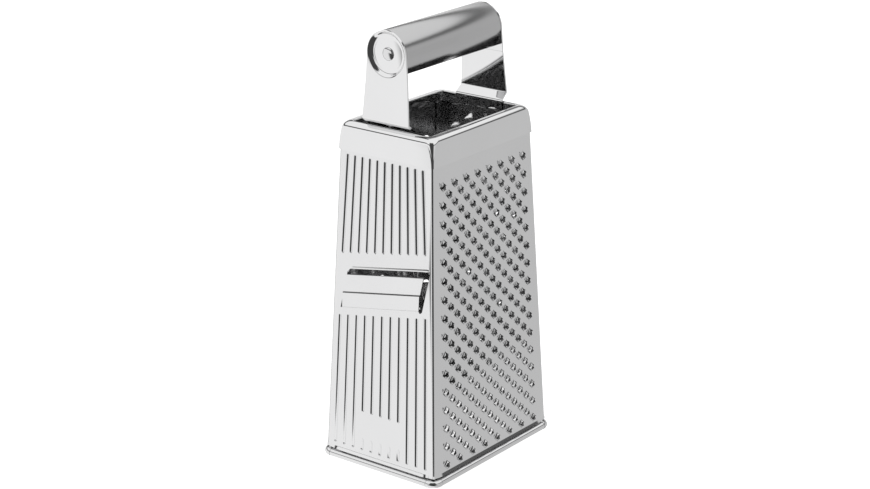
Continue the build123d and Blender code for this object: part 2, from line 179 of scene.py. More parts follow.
bpy.ops.mesh.primitive_grid_add(x_subdivisions=4, y_subdivisions=4, size=floor_size)
floor = bpy.context.object
floor.name = "white_sweep"
white_sweep = bpy.data.materials.new("white_sweep")
white_sweep.use_nodes = True
tree = white_sweep.node_tree
tree.nodes.clear()
place = add_node(tree, "ShaderNodeNewGeometry", {})["Position"]
from_corner = vector_math(tree, "SUBTRACT", place, near_corner)[0]
grey = side_share(tree, from_corner, grey_side, grey_side_start)
dark = side_share(tree, from_corner, floor_camera_side, floor_camera_side_start)
# A painted shadow on the floor behind the grater, on the grip's side, fading out with distance from it
behind = side_share(tree, place, grip_side, grip_side_start)
distance = vector_math(tree, "LENGTH", place)["Value"]
behind = mixed(tree, ramp(tree, distance, painted_back_shadow_end, "LINEAR"), behind, 0.0)
mirrored_light = mixed(tree, grey, 1.0, grey_wall)
mirrored_light = mixed(tree, behind, mirrored_light, painted_back_shadow_grey)
mirrored_light = mixed(tree, dark, mirrored_light, camera_side_grey)
# Painted shade: inside the body's foot the floor turns nearly black to rays mirrored more than once
across = vector_math(tree, "ABSOLUTE", place)[0]
to_rim = vector_math(tree, "DIVIDE", across, footprint)[0]
axes = add_node(tree, "ShaderNodeSeparateXYZ", {0: to_rim})
farthest = add_node(tree, "ShaderNodeMath", {0: axes["X"], 1: axes["Y"]}, operation="MAXIMUM")[0]
outside_foot = add_node(tree, "ShaderNodeMath", {0: farthest, 1: 1.0}, operation="GREATER_THAN")[0]
path = add_node(tree, "ShaderNodeLightPath", {})
inputs = {0: path["Ray Depth"], 1: most_mirrorings}
often_mirrored = add_node(tree, "ShaderNodeMath", inputs, operation="GREATER_THAN")[0]
inside_light_and_painted_shade = mixed(tree, often_mirrored, inside_grey, painted_inside_shade_grey)
mirrored_light = mixed(tree, outside_foot, inside_light_and_painted_shade, mirrored_light)
matt = add_node(tree, "ShaderNodeBsdfDiffuse", {"Color": sweep_white})[0]
glow = add_node(tree, "ShaderNodeEmission", {"Color": sweep_white})[0]
seen_white = add_node(tree, "ShaderNodeAddShader", {0: matt, 1: glow})[0]
mirrored = add_node(tree, "ShaderNodeEmission", {"Color": mirrored_light})[0]
for_camera = add_node(tree, "ShaderNodeMixShader", {"Fac": path["Is Camera Ray"], 1: matt, 2: seen_white})[0]
glossy, clear = path["Is Glossy Ray"], path["Is Transmission Ray"]
glossy_or_clear = add_node(tree, "ShaderNodeMath", {0: glossy, 1: clear}, operation="MAXIMUM")[0]
for_metal = add_node(tree, "ShaderNodeMixShader", {"Fac": glossy_or_clear, 1: for_camera, 2: mirrored})[0]
add_node(tree, "ShaderNodeOutputMaterial", {"Surface": for_metal})
floor.data.materials.append(white_sweep)

# Foot rim
# The bead round the foot is steel sheet rolled into a tube. Its web stands up inside the four panels, which
# are spot welded to it, and the grater rests on the bead. Lengths from here on are in millimetres.

millimetre = 0.001
body_half_length = 52.8
body_half_width = 38.5
body_bottom = 4.4
neck_half_length = 43.6
neck_half_width = 31.45
neck_height = 195.9
lean_long = atan((body_half_length - neck_half_length) / (neck_height - body_bottom))
lean_wide = atan((body_half_width - neck_half_width) / (neck_height - body_bottom))
sheet = 0.7
rim_gap = 0.1
web_inset = 1.84
bead_corner_radius = 7.0
bead_flats = 28
bead_bend_steps = 12
weld_distance = 0.002
cloud_scale = 28
cloud_shares = (0.97, 1.03)
cool_tint = 0.005

# The sides that each corner lies on, in turn
corner_sides = ((1, 1), (-1, 1), (-1, -1), (1, -1))

# Where the bead is joined beside a corner: how far from its bend, and how much slimmer it is there
bead_joint = ((1.0, 0.10), (0.28, 0.10), (0.22, 0.30), (0.0, 0.34))


def corners(node):
    """A node's lowest and highest corner, in millimetres."""
    return [Vector(corner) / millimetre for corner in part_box(node)]


def half_length(z):
    """Half the body's outside length at a height."""
    return body_half_length - (z - body_bottom) * tan(lean_long)


def half_width(z):
    """Half the body's outside width at a height."""
    return body_half_width - (z - body_bottom) * tan(lean_wide)


class Blank:
    """The points and faces of a piece of steel while it is formed."""

    def __init__(self):
        self.points = []
        self.faces = []
        # Faces that take the second material, a darker steel painted as shade
        self.torn = []

    def place(self, points):
        """Adds points, and gives their numbers."""
        first = len(self.points)
        self.points += [Vector(point) for point in points]
        return list(range(first, len(self.points)))

    def cap(self, ring):
        """Closes a ring of points with one face."""
        self.faces.append(self.place(ring))

    def bridge(self, rings, closed=True, looped=False):
        """Joins rings of as many points. closed joins each ring's ends, looped the last ring to the first."""
        numbers = [self.place(ring) for ring in rings]
        if looped:
            numbers.append(numbers[0])
        for low_ring, high_ring in zip(numbers, numbers[1:]):
            count = len(low_ring)
            for i in range(count if closed else count - 1):
                j = (i + 1) % count
                self.faces.append([low_ring[i], low_ring[j], high_ring[j], high_ring[i]])

    def prism(self, rings):
        """A closed bar through rings, with both ends capped."""
        self.bridge(rings)
        self.cap(rings[0])
        self.cap(rings[-1])

    def form(self, name, material, sharp_turn=28, painted_shade_material=None):
        """Makes the mesh: joins points that meet, turns faces outwards and keeps edges over sharp_turn."""
        mesh = bpy.data.meshes.new(name)
        mesh.from_pydata([point * millimetre for point in self.points], [], self.faces)
        # The faces listed in torn get the painted shade material
        for number in self.torn:
            mesh.polygons[number].material_index = 1
        shape = bmesh.new()
        shape.from_mesh(mesh)
        bmesh.ops.remove_doubles(shape, verts=shape.verts, dist=weld_distance * millimetre)
        bmesh.ops.recalc_face_normals(shape, faces=shape.faces)
        shape.to_mesh(mesh)
        shape.free()
        mesh.shade_smooth()
        mesh.set_sharp_from_angle(angle=radians(sharp_turn))
        mesh.materials.append(material)
        if painted_shade_material:
            mesh.materials.append(painted_shade_material)
        piece = bpy.data.objects.new(name, mesh)
        bpy.context.scene.collection.objects.link(piece)
        return piece


def rolled_steel(name, grey, roughness, grain, depth, swing=0.02):
    """Bare steel: grain of a depth, its cells sized along X, Y and Z, and clouds that swing its roughness."""
    material = bpy.data.materials.new(name)
    material.use_nodes = True
    tree = material.node_tree
    shader = tree.nodes["Principled BSDF"]
    shader.inputs["Metallic"].default_value = 1
    place = add_node(tree, "ShaderNodeTexCoord", {})["Object"]
    grain_scale = tuple(1 / (size * millimetre) for size in grain)
    stretch = vector_math(tree, "MULTIPLY", place, grain_scale)[0]
    fine = add_node(tree, "ShaderNodeTexNoise", {"Vector": stretch, "Scale": 1, "Detail": 2})[0]
    clouds = add_node(tree, "ShaderNodeTexNoise", {"Vector": place, "Scale": cloud_scale, "Detail": 3})[0]
    low, high = [(grey * share, grey * share, grey * (share + cool_tint), 1) for share in cloud_shares]
    tint = add_node(tree, "ShaderNodeMix", {"Factor": clouds, "A": low, "B": high}, data_type="RGBA")[2]
    inputs = {"Value": clouds, "To Min": roughness - swing, "To Max": roughness + swing}
    dull = add_node(tree, "ShaderNodeMapRange", inputs)[0]
    inputs = {"Strength": 1, "Distance": depth * millimetre, "Height": fine}
    bump = add_node(tree, "ShaderNodeBump", inputs)[0]
    for name, socket in (("Base Color", tint), ("Roughness", dull), ("Normal", bump)):
        tree.links.new(socket, shader.inputs[name])
    return material


def frame_ring(half_x, half_y, radius, z, steps=8):
    """A ring round a rectangle with round corners."""
    ring = []
    for corner, (side_x, side_y) in enumerate(corner_sides):
        for step in range(steps + 1):
            angle = pi / 2 * (corner + step / steps)
            x = side_x * (half_x - radius) + radius * cos(angle)
            ring.append((x, side_y * (half_y - radius) + radius * sin(angle), z))
    return ring


rim_high = corners("base_rim")[1]
bead_radius = (body_bottom - rim_gap) / 2


def rim_ring(reach, z):
    """A ring that stands off the bead's centre line by reach."""
    half_x, half_y = rim_high.x - bead_radius + reach, rim_high.y - bead_radius + reach
    return frame_ring(half_x, half_y, bead_corner_radius - bead_radius + reach, z)


def bead_stations():
    """Sections along the bead: place, direction outwards and radius. It is pinched at its joints."""
    stations = []
    radius = bead_corner_radius - bead_radius
    inner_x, inner_y = rim_high.x - bead_corner_radius, rim_high.y - bead_corner_radius
    stops = [(0, -along, slim) for along, slim in bead_joint]
    stops += [(step / bead_bend_steps, 0.0, 0.0) for step in range(bead_bend_steps + 1)]
    stops += [(1, along, slim) for along, slim in bead_joint[::-1]]
    for corner, (side_x, side_y) in enumerate(corner_sides):
        for share, along, slim in stops:
            turn = pi / 2 * (corner + share)
            outwards = Vector((cos(turn), sin(turn), 0))
            place = Vector((side_x * inner_x, side_y * inner_y, bead_radius)) + outwards * radius
            place += Vector((-outwards.y, outwards.x, 0)) * along
            stations.append((place, outwards, bead_radius - slim))
    return stations


rim = Blank()
round_bead = []
for place, outwards, radius in bead_stations():
    section = []
    for flat in range(bead_flats):
        turn = 2 * pi * flat / bead_flats
        section.append(place + outwards * radius * cos(turn) + Vector((0, 0, radius * sin(turn))))
    round_bead.append(section)
rim.bridge(round_bead, looped=True)
web_places = ((-web_inset, bead_radius), (-web_inset, rim_high.z))
web_places += ((-web_inset - sheet, rim_high.z), (-web_inset - sheet, bead_radius))
rim.bridge([rim_ring(*place) for place in web_places], looped=True)
rim_steel = rolled_steel("rim_steel", grey=0.76, roughness=0.10, grain=(0.9, 0.9, 0.25), depth=0.0006)
foot_rim = rim.form("foot_rim", rim_steel)
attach(foot_rim, "root")
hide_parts("base_rim")

# Fine grating face
# The wide front plate is stainless sheet, struck by a pointed punch that tears each place open in four
# petals. Its bottom edge is flared out over the bead, and it is welded over the narrow plates' bent edges.

panel_top = 187.5
corner_fold = 0.85
fold_steps = 8
fold_turns = [pi / 2 * (step / fold_steps - 1) for step in range(fold_steps + 1)]
flare_radius = 0.8
flare_turn = radians(40)
flare_length = 1.6
flare_gap = 0.45
flare_run_out = 9.0
flare_corner_share = 0.04
flare_steps = 6
flare_end_gap = 0.1
bend_drop = (flare_radius + sheet) * sin(flare_turn)
flare_top = 2 * bead_radius + flare_gap + bend_drop + flare_length * cos(flare_turn)
collar_bottom = 180.1
fine_rows = 16
fine_columns = 8
fine_foot_margin = 5.7
fine_neck_margin = 11.9
fine_pitch_foot = 11.69
fine_pitch_neck = 10.38
wide_face_height = (collar_bottom - body_bottom) / cos(lean_wide)
burr_reach = 2.25
torn_edge = 0.10
petal_lean = 0.35
petal_rise = (-0.16, 0.08)
petal_bulge = 0.05
strike_seed = 11
join_distance = 1e-5
pit_place = (-2.8, 2.4)
pit_radius = 0.42
pit_points = 8

# Each level of a petal: how far it stands from the hole's middle, how high, and half its width
petal_outside = ((2.25, 0.0, 2.25), (2.00, 0.12, 1.90), (1.78, 0.50, 1.38), (1.62, 1.00, 0.80))
petal_outside += ((1.55, 1.55, 0.15),)
petal_inside = ((2.25, -0.7, 2.25), (1.78, -0.40, 1.78), (1.58, 0.35, 1.28), (1.46, 0.90, 0.72))
petal_inside += ((1.44, 1.50, 0.12),)
petal_tip = len(petal_outside) - 1


class BodyFace:
    """One leaning face of the body, as the front face turned round Z: across, up its slope, and outwards."""

    def __init__(self, turn, reach, lean):
        self.spin = Matrix.Rotation(radians(turn), 3, "Z")
        self.reach = reach
        self.lean = lean

    def on(self, across, up, out=0.0):
        """A place on the face, out from its outside."""
        y = up * sin(self.lean) - out * cos(self.lean) - self.reach
        return self.spin @ Vector((across, y, body_bottom + up * cos(self.lean) + out * sin(self.lean)))

    def behind(self, across, depth, z):
        """A place at a height, level with the face and behind its outside by depth."""
        y = depth - self.reach + (z - body_bottom) * tan(self.lean)
        return self.spin @ Vector((across, y, z))

    def up_to(self, z):
        """How far up its slope the face reaches a height."""
        return (z - body_bottom) / cos(self.lean)


def pattern_places(rows, columns, foot, neck, pitch_foot, pitch_neck):
    """Places on a face in rows from foot to neck, with rows of one fewer set half way between them."""
    places = []
    for step in range(2 * rows - 1):
        share = step / (2 * rows - 2)
        pitch = pitch_foot + share * (pitch_neck - pitch_foot)
        count = columns - step % 2
        for column in range(count):
            places.append(((column - (count - 1) / 2) * pitch, foot + share * (neck - foot)))
    return places


def sheet_skins(blank, face, outline, pressed):
    """Both skins of a sheet inside an outline, left open inside each pressed loop, and the outline's edge."""
    flat, owner, edges = [], [], []
    for number, loop in enumerate([outline, *pressed]):
        first = len(flat)
        flat += [Vector(point) for point in loop]
        owner += [number] * len(loop)
        edges += [(first + i, first + (i + 1) % len(loop)) for i in range(len(loop))]
    points, _, triangles, origins, _, _ = delaunay_2d_cdt(flat, edges, [], 0, join_distance)
    owners = [{owner[i] for i in origin} for origin in origins]
    for out in (0.0, -sheet):
        numbers = blank.place([face.on(point.x, point.y, out) for point in points])
        for triangle in triangles:
            a, b, c = (owners[i] for i in triangle)
            if not (a & b & c) - {0}:
                blank.faces.append([numbers[i] for i in triangle])
    blank.bridge([[face.on(*point, out) for point in outline] for out in (0.0, -sheet)])


def flare(blank, face, reach_at):
    """The flared bottom edge: a bend and a straight run. The flare dies out towards the corners."""
    rings = []
    shares = [step / flare_steps for step in range(flare_steps + 1)]
    for side, share in [(-1, share) for share in shares] + [(1, share) for share in shares[::-1]]:
        smooth = share ** 2 * (3 - 2 * share)
        full_turn = flare_turn * (flare_corner_share + (1 - flare_corner_share) * smooth)
        runs = []
        for radius in (flare_radius, flare_radius + sheet):
            run = []
            for bend_share in shares:
                turn = pi + full_turn * bend_share
                run.append((flare_radius + radius * cos(turn), flare_top + radius * sin(turn)))
            out, z = run[-1]
            run.append((out + flare_length * sin(full_turn), z - flare_length * cos(full_turn)))
            runs.append(run)
        section = runs[0] + runs[1][::-1]
        inset = flare_run_out * share
        rings.append([face.behind(side * (reach_at(z) - inset), -out, z) for out, z in section])
    blank.prism(rings)


def folded_sides(blank, face):
    """The rounded side edges of a wide plate, folded back over the narrow plates."""
    for side in (-1, 1):
        rings = []
        for z in (flare_top, panel_top):
            section = []
            for radius, turns in ((corner_fold, fold_turns), (corner_fold - sheet, fold_turns[::-1])):
                for turn in turns:
                    section.append((wide_reach(z) + radius * cos(turn), corner_fold + radius * sin(turn)))
            rings.append([face.behind(side * across, depth, z) for across, depth in section])
        blank.prism(rings)


def burr(blank, face, middle, size, chance):
    """One star burr of four torn petals. size scales it, and chance makes every petal a little different."""
    for quarter in range(4):
        bearing = radians(45 + 90 * quarter)
        outwards = Vector((cos(bearing), sin(bearing)))
        sideways = Vector((-sin(bearing), cos(bearing)))
        lean_over = chance.uniform(-petal_lean, petal_lean)
        tip_rise = chance.uniform(*petal_rise)
        skins = ([], [])
        for level, sections in enumerate(zip(petal_outside, petal_inside)):
            torn = [chance.uniform(-torn_edge, torn_edge) if level > 1 else 0.0 for _ in range(2)]
            shift = lean_over * (level / petal_tip) ** 2
            for skin, (stand, height, half) in zip(skins, sections):
                height += tip_rise * (level / petal_tip) ** 3
                spots = [(stand, shift - half + torn[0]), (stand, shift + half + torn[1])]
                if level > 0:
                    spots.insert(1, (stand + petal_bulge, shift))
                row = []
                for off, along in spots:
                    spot = Vector(middle) + (outwards * off + sideways * along) * size
                    row.append(face.on(spot.x, spot.y, height * (size if height > 0 else 1)))
                skin.append(blank.place(row))
        for low_row, *rows in skins:
            first_face = len(blank.faces)
            left, right = low_row
            first_left, first_middle, first_right = rows[0]
            blank.faces += [[left, first_middle, first_left], [left, right, first_middle]]
            blank.faces.append([right, first_right, first_middle])
            for below, above in zip(rows, rows[1:]):
                blank.faces.append([below[0], below[1], above[1], above[0]])
                blank.faces.append([below[1], below[2], above[2], above[1]])
        # The petal's inside skin takes the darker steel, painted shade in the burr's hollow
        blank.torn += range(first_face, len(blank.faces))
        outside, inside = skins
        for end in (0, -1):
            blank.faces.append([outside[0][end], outside[1][end], inside[1][end]])
            for level in range(1, petal_tip):
                edge = [skin[step][end] for skin, step in ((outside, level), (outside, level + 1))]
                blank.faces.append(edge + [inside[level + 1][end], inside[level][end]])
        blank.faces.append(outside[-1] + inside[-1][::-1])


def pit(blank, face, middle):
    """The small hole that the punch's pilot leaves beside a burr. Gives its loop."""
    loop = []
    x, y = middle[0] + pit_place[0], middle[1] + pit_place[1]
    for step in range(pit_points):
        turn = 2 * pi * step / pit_points
        loop.append((x + pit_radius * cos(turn), y + pit_radius * sin(turn)))
    blank.bridge([[face.on(*point, out) for point in loop] for out in (0.0, -sheet)])
    return loop


def diamond(middle, reach):
    """The four corners of a square that stands on its corner, reach from its middle to its sides."""
    far = reach * 2 ** 0.5
    return [(middle[0] + x * far, middle[1] + y * far) for x, y in ((1, 0), (0, 1), (-1, 0), (0, -1))]


def trapezium(face, reach_at):
    """The flat part of a plate: from the flare up to where it ends under the collar."""
    low_reach, high_reach = reach_at(flare_top), reach_at(panel_top)
    low_up, high_up = face.up_to(flare_top), face.up_to(panel_top)
    return [(-low_reach, low_up), (low_reach, low_up), (high_reach, high_up), (-high_reach, high_up)]


def wide_reach(z):
    """Half the flat width of a wide plate at a height, up to where its side edges are folded back."""
    return half_length(z) - corner_fold


panel_steel = rolled_steel("panel_steel", grey=0.78, roughness=0.10, grain=(0.35, 0.35, 7.0), depth=0.0005)
# Much darker steel for the petals' inside skins: painted shade where the burrs' hollows lie in shadow
painted_shade_steel = rolled_steel("painted_shade_steel", grey=0.26, roughness=0.22, grain=(0.3, 0.3, 0.3), depth=0.004)
front = BodyFace(0, body_half_width, lean_wide)
chance = Random(strike_seed)
fine = Blank()
fine_top = wide_face_height - fine_neck_margin
fine_places = pattern_places(
    fine_rows, fine_columns, fine_foot_margin, fine_top, fine_pitch_foot, fine_pitch_neck
)
fine_loops = [diamond(place, burr_reach) for place in fine_places]
for place in fine_places:
    row = [across for across, up in fine_places if up == place[1]]
    if place[1] == fine_places[-1][1] or (len(row) == fine_columns and place[0] == min(row)):
        fine_loops.append(pit(fine, front, place))
sheet_skins(fine, front, trapezium(front, wide_reach), fine_loops)
for place in fine_places:
    burr(fine, front, place, 1.0, chance)
folded_sides(fine, front)
flare(fine, front, lambda z: half_length(z) - flare_end_gap)
fine_face = fine.form("fine_face", panel_steel, painted_shade_material=painted_shade_steel)
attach(fine_face, "root")
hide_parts("fine_grating_panel")

# Coarse grating face
# The wide back plate, with rows of large scoops. Each is cut along an arch and pressed out below it, so
# that the arch stands off the sheet as a cutting edge over its hole.

coarse_rows = 6
coarse_columns = 5
coarse_foot_margin = 14.0
coarse_neck_margin = 13.0
coarse_pitch_foot = 17.6
coarse_pitch_neck = 15.2
scoop_half_width = 4.8
scoop_length = 9.6
scoop_rise = 2.4
scoop_fullness = 0.7
scoop_crown_power = 1.3
scoop_hole = 2.8
scoop_levels = 9
scoop_stations = 10


def scoop(blank, face, middle):
    """One scoop with its hole. Gives the loop that the sheet's skins leave open for it."""
    rows = []
    for level in range(scoop_levels + 1):
        share = level / scoop_levels
        half = scoop_half_width * (1 - (1 - share) ** 2) ** 0.5
        crown = scoop_rise * share * (1 + scoop_fullness * (1 - share))
        row = []
        for station in range(scoop_stations + 1):
            turn = (2 * station / scoop_stations - 1) * pi / 2
            row.append((half * sin(turn), (share - 1) * scoop_length, crown * cos(turn) ** scoop_crown_power))
        rows.append(row)
    skins = [[], []]
    for row in rows:
        for skin, drop in zip(skins, (0.0, sheet)):
            skin.append([face.on(middle[0] + x, middle[1] + y, height - drop) for x, y, height in row])
    for skin in skins:
        blank.bridge(skin, closed=False)
    blank.bridge([skins[0][-1], skins[1][-1]], closed=False)
    arch = []
    for station in range(scoop_stations + 1):
        turn = pi * station / scoop_stations
        arch.append((middle[0] + scoop_half_width * cos(turn), middle[1] + scoop_hole * sin(turn)))
    blank.bridge([[face.on(*point, out) for point in arch] for out in (0.0, -sheet)], closed=False)
    right_side = [(middle[0] + row[-1][0], middle[1] + row[-1][1]) for row in rows]
    left_side = [(middle[0] + row[0][0], middle[1] + row[0][1]) for row in rows]
    return right_side + arch[1:-1] + left_side[:0:-1]


back = BodyFace(180, body_half_width, lean_wide)
coarse = Blank()
coarse_top = wide_face_height - coarse_neck_margin
coarse_places = pattern_places(
    coarse_rows, coarse_columns, coarse_foot_margin, coarse_top, coarse_pitch_foot, coarse_pitch_neck
)
scoops = [scoop(coarse, back, place) for place in coarse_places]
sheet_skins(coarse, back, trapezium(back, wide_reach), scoops)
folded_sides(coarse, back)
flare(coarse, back, lambda z: half_length(z) - flare_end_gap)
coarse_face = coarse.form("coarse_face", panel_steel)
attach(coarse_face, "root")
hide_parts("coarse_grating_panel")

# Slicing face
# The narrow left plate. Long grooves are pressed into it so that food slides over it, and a slanted tab is
# lanced out and ground to a blade under a slot whose upper edge is turned in. Its side edges are bent in.

narrow_face_height = (collar_bottom - body_bottom) / cos(lean_long)
flange_depth = 4.5
flange_start = 10.0
seam = 0.04
flange_edge = 0.1
flange_ease = 0.02
groove_run_out = 0.75
groove_count = 11
groove_short_count = 5
groove_pitch_foot = 6.45
groove_pitch_below_slot = 6.01
groove_pitch_above_slot = 5.74
groove_pitch_neck = 5.17
grooves_foot = 5.4
grooves_below_slot = 86.0
grooves_above_slot = 123.0
grooves_neck = 173.2
grooves_bare_top = 28.3
grooves_stub_top = 10.7
slot_tilt = radians(10)
slot_lean = radians(12)
blade_foot_offset = -2.2
blade_foot = 90.3
blade_half = 27.2
blade_ramp = 9.5
blade_reach = 20.9
blade_rise = 1.6
blade_bevel = 1.2
blade_edge = 0.12
blade_crest_run = 1.2
blade_crest_drop = 0.16
crease_rise = 0.37
crease_width = 0.9
crease_shares = (0.12, 0.88, 1.0)
slit_widths = (0.9, 2.8)
slit_steps = 4
slot_gap = 4.6
slot_corner_reach = 3.2
slot_corner_steps = 6
lip_end_share = 0.4

# The slot lip's section: how far into the slot and how high it stands
lip_roll = ((0.0, 0.0), (0.1, 0.04), (0.7, 0.29), (0.8, 0.33), (0.95, 0.35), (1.4, 0.33), (1.65, 0.0))
lip_roll += ((1.7, -0.5), (1.7, -0.82))

# The section of the fold that the blade rises from: how far up the blade, and how high
blade_fold = ((0.0, 0.0), (0.08, -0.033), (0.36, -0.148), (0.44, -0.16), (0.8, 0.02))

# A groove's section: half its width and its depth, from its edge down to its floor
groove_section = ((1.05, 0.0), (0.98, -0.02), (0.85, -0.12), (0.38, -0.50), (0.16, -0.55))


def narrow_reach(z):
    """Half the flat width of a narrow plate at a height, up to where its side edges bend in."""
    return half_width(z) - corner_fold - seam - flange_edge


def bent_edges(blank, face):
    """The two side edges of a narrow plate, bent in sharply behind the wide plates' folds."""
    for side in (-1, 1):
        rings = []
        for z in (flange_start, panel_top):
            edge = narrow_reach(z) + flange_edge
            section = [(edge - flange_edge, 0), (edge - flange_ease, flange_ease), (edge, flange_edge)]
            section += [(edge, flange_depth), (edge - sheet, flange_depth), (edge - sheet, sheet)]
            section.append((edge - flange_edge, sheet))
            rings.append([face.behind(side * across, depth, z) for across, depth in section])
        blank.prism(rings)


def long_ring(first, last, radius, steps=6):
    """A ring round a line from first to last, with round ends."""
    run = Vector(last) - Vector(first)
    bearing = Vector((1, 0)).angle_signed(run.normalized())
    ring = []
    for end, start in ((last, -pi / 2), (first, pi / 2)):
        for step in range(steps + 1):
            turn = start + pi * step / steps - bearing
            ring.append((end[0] + radius * cos(turn), end[1] + radius * sin(turn)))
    return ring


def groove(blank, face, first, last, shallow):
    """One groove, a ridge inside. shallow is the share of its depth left at last. Gives its loop."""
    rings = [long_ring(first, last, half) for half, _ in groove_section]
    count = len(rings[0])
    shares = [shallow if number < count // 2 else 1.0 for number in range(count)]
    for drop in (0.0, sheet):
        placed = []
        for ring, (_, depth) in zip(rings, groove_section):
            placed.append([face.on(*point, depth * share - drop) for point, share in zip(ring, shares)])
        blank.bridge(placed)
        blank.cap(placed[-1])
    return rings[0]


def groove_lines():
    """Every groove's ends and how shallow the last end is, in a fan below the slot and one above it."""
    slant = tan(slot_tilt)
    lines = []
    for number in range(groove_count):
        place = number - (groove_count - 1) / 2
        foot = (place * groove_pitch_foot, grooves_foot)
        below_x = place * groove_pitch_below_slot
        below = (below_x, grooves_below_slot + below_x * slant)
        above_x = place * groove_pitch_above_slot
        above = (above_x, grooves_above_slot + above_x * slant)
        lines.append(((place * groove_pitch_neck, grooves_neck), above, groove_run_out))
        if abs(place) > groove_short_count / 2:
            lines.append((foot, below, groove_run_out))
        else:
            share = (grooves_bare_top - grooves_foot) / (below[1] - grooves_foot)
            bare = (foot[0] + share * (below_x - foot[0]), grooves_bare_top)
            lines += [(bare, below, groove_run_out), (foot, (foot[0], grooves_stub_top), 1.0)]
    return lines


def slot_point(along, up):
    """A point of the slicing face: along the blade, and up its leaning sides, from its fold's middle."""
    x = blade_foot_offset + along * cos(slot_tilt) + up * sin(slot_lean)
    return x, blade_foot + along * sin(slot_tilt) + up * cos(slot_lean)


def slot_loop():
    """The slot's outline from the blade's fold up one slit, over the gap and down the other slit."""
    left, right, top = -blade_half - slit_widths[0], blade_half + slit_widths[1], blade_reach + slot_gap
    loop = [slot_point(blade_half, 0)]
    sweep = slit_widths[1] / 2
    for step in range(slit_steps + 1):
        turn = pi / 2 * (1 - step / slit_steps)
        loop.append(slot_point(right - sweep + sweep * cos(turn), -sweep * sin(turn)))
    for side, reach, other in ((1, right, left), (-1, left, right)):
        across, over = Vector(slot_point(reach, top)), Vector(slot_point(other, top))
        below = Vector(slot_point(reach, 0))
        down, along = (below - across).normalized(), (over - across).normalized()
        round_corner = []
        for step in range(slot_corner_steps + 1):
            share = step / slot_corner_steps
            pull = down * (1 - share) ** 2 + along * share ** 2
            round_corner.append(tuple(across + pull * slot_corner_reach))
        loop += round_corner if side > 0 else round_corner[::-1]
    return loop + [slot_point(left, 0), slot_point(-blade_half, 0)]


def slot_and_blade(blank, face):
    """The slot's walls, the blade on its fold and the turned-in lip. Gives the loop that is left open."""
    loop = slot_loop()
    lip_first, lip_last = slit_steps + 2, len(loop) - 3
    for part in (loop[:lip_first + 1], loop[lip_last:]):
        blank.bridge([[face.on(*point, out) for point in part] for out in (0.0, -sheet)], closed=False)
    lip = loop[lip_first:lip_last + 1]
    lip_rings = [[], []]
    for into, height in lip_roll:
        rows = [[], []]
        for number, point in enumerate(lip):
            before, after = Vector(lip[max(number - 1, 0)]), Vector(lip[min(number + 1, len(lip) - 1)])
            along = (after - before).normalized()
            share = min(number, len(lip) - 1 - number, slot_corner_steps) / slot_corner_steps
            share = lip_end_share + (1 - lip_end_share) * share
            spot = Vector(point) + Vector((-along.y, along.x)) * into * share
            for row, drop in zip(rows, (0.0, sheet)):
                row.append(face.on(spot.x, spot.y, height * share - drop))
        for ring, row in zip(lip_rings, rows):
            ring.append(row)
    for ring in lip_rings:
        blank.bridge(ring, closed=False)
    blank.bridge([lip_rings[0][-1], lip_rings[1][-1]], closed=False)
    for end in (0, -1):
        blank.cap([row[end] for row in lip_rings[0]] + [row[end] for row in lip_rings[1][::-1]])
    crest = blade_rise + crease_rise
    outer = [*blade_fold, (blade_ramp - blade_crest_run, crest - blade_crest_drop), (blade_ramp, crest)]
    outer += [(blade_ramp + share * crease_width, crest - share * crease_rise) for share in crease_shares]
    outer.append((blade_reach - blade_bevel, blade_rise))
    inner = [(up, out - sheet) for up, out in outer] + [(blade_reach, blade_rise - sheet)]
    outer.append((blade_reach, blade_rise - sheet + blade_edge))
    sides = []
    for along in (-blade_half, blade_half):
        sides.append([[face.on(*slot_point(along, up), out) for up, out in run] for run in (outer, inner)])
    for skin in (0, 1):
        blank.bridge([sides[0][skin], sides[1][skin]], closed=False)
    for side in sides:
        blank.bridge(side, closed=False)
    blank.bridge([[side[0][-1] for side in sides], [side[1][-1] for side in sides]], closed=False)
    return loop


left = BodyFace(-90, body_half_length, lean_long)
slicer = Blank()
openings = [slot_and_blade(slicer, left)]
for first, last, shallow in groove_lines():
    openings.append(groove(slicer, left, first, last, shallow))
sheet_skins(slicer, left, trapezium(left, narrow_reach), openings)
bent_edges(slicer, left)
flare(slicer, left, lambda z: half_width(z) - corner_fold)
slicing_face = slicer.form("slicing_face", panel_steel)
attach(slicing_face, "root")
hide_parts("slicer_panel")

# Zesting face
# The narrow right plate, the slicing face's twin in outline. A small punch has torn its rows of fine points,
# which stand further apart than the fine face's burrs.

zest_rows = 6
zest_columns = 4
zest_foot_margin = 12.0
zest_neck_margin = 25.0
zest_pitch_foot = 15.4
zest_pitch_neck = 12.8
zest_size = 0.72

right = BodyFace(90, body_half_length, lean_long)
zester = Blank()
zest_top = narrow_face_height - zest_neck_margin
zest_places = pattern_places(
    zest_rows, zest_columns, zest_foot_margin, zest_top, zest_pitch_foot, zest_pitch_neck
)
zest_loops = [diamond(place, burr_reach * zest_size) for place in zest_places]
sheet_skins(zester, right, trapezium(right, narrow_reach), zest_loops)
for place in zest_places:
    burr(zester, right, place, zest_size, chance)
bent_edges(zester, right)
flare(zester, right, lambda z: half_width(z) - corner_fold)
zesting_face = zester.form("zesting_face", panel_steel, painted_shade_material=painted_shade_steel)
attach(zesting_face, "root")
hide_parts("zester_panel")

# Collar
# A frame of brighter sheet, pressed over the tops of the four plates and welded there. Its shoulder turns in
# to a flat rim, and a lip is folded down round the mouth, left out where the brackets pass.

collar_low, collar_high = corners("top_collar")
collar_sheet = 0.7
collar_reach = 0.8
skirt_corner_radius = 1.3
skirt_corner_growth = 2.6
shoulder_corner_growth = 1.6
skirt_steps = 5
shoulder_radius = 3.6
shoulder_steps = 9
mouth_half_length = 39.8
mouth_half_width = 26.4
mouth_corner_radius = 2.2
mouth_corner_steps = 8
lip_depth = 6.3
lip_fold = 0.9
lip_fold_steps = 6
notch_half_width = 16.5


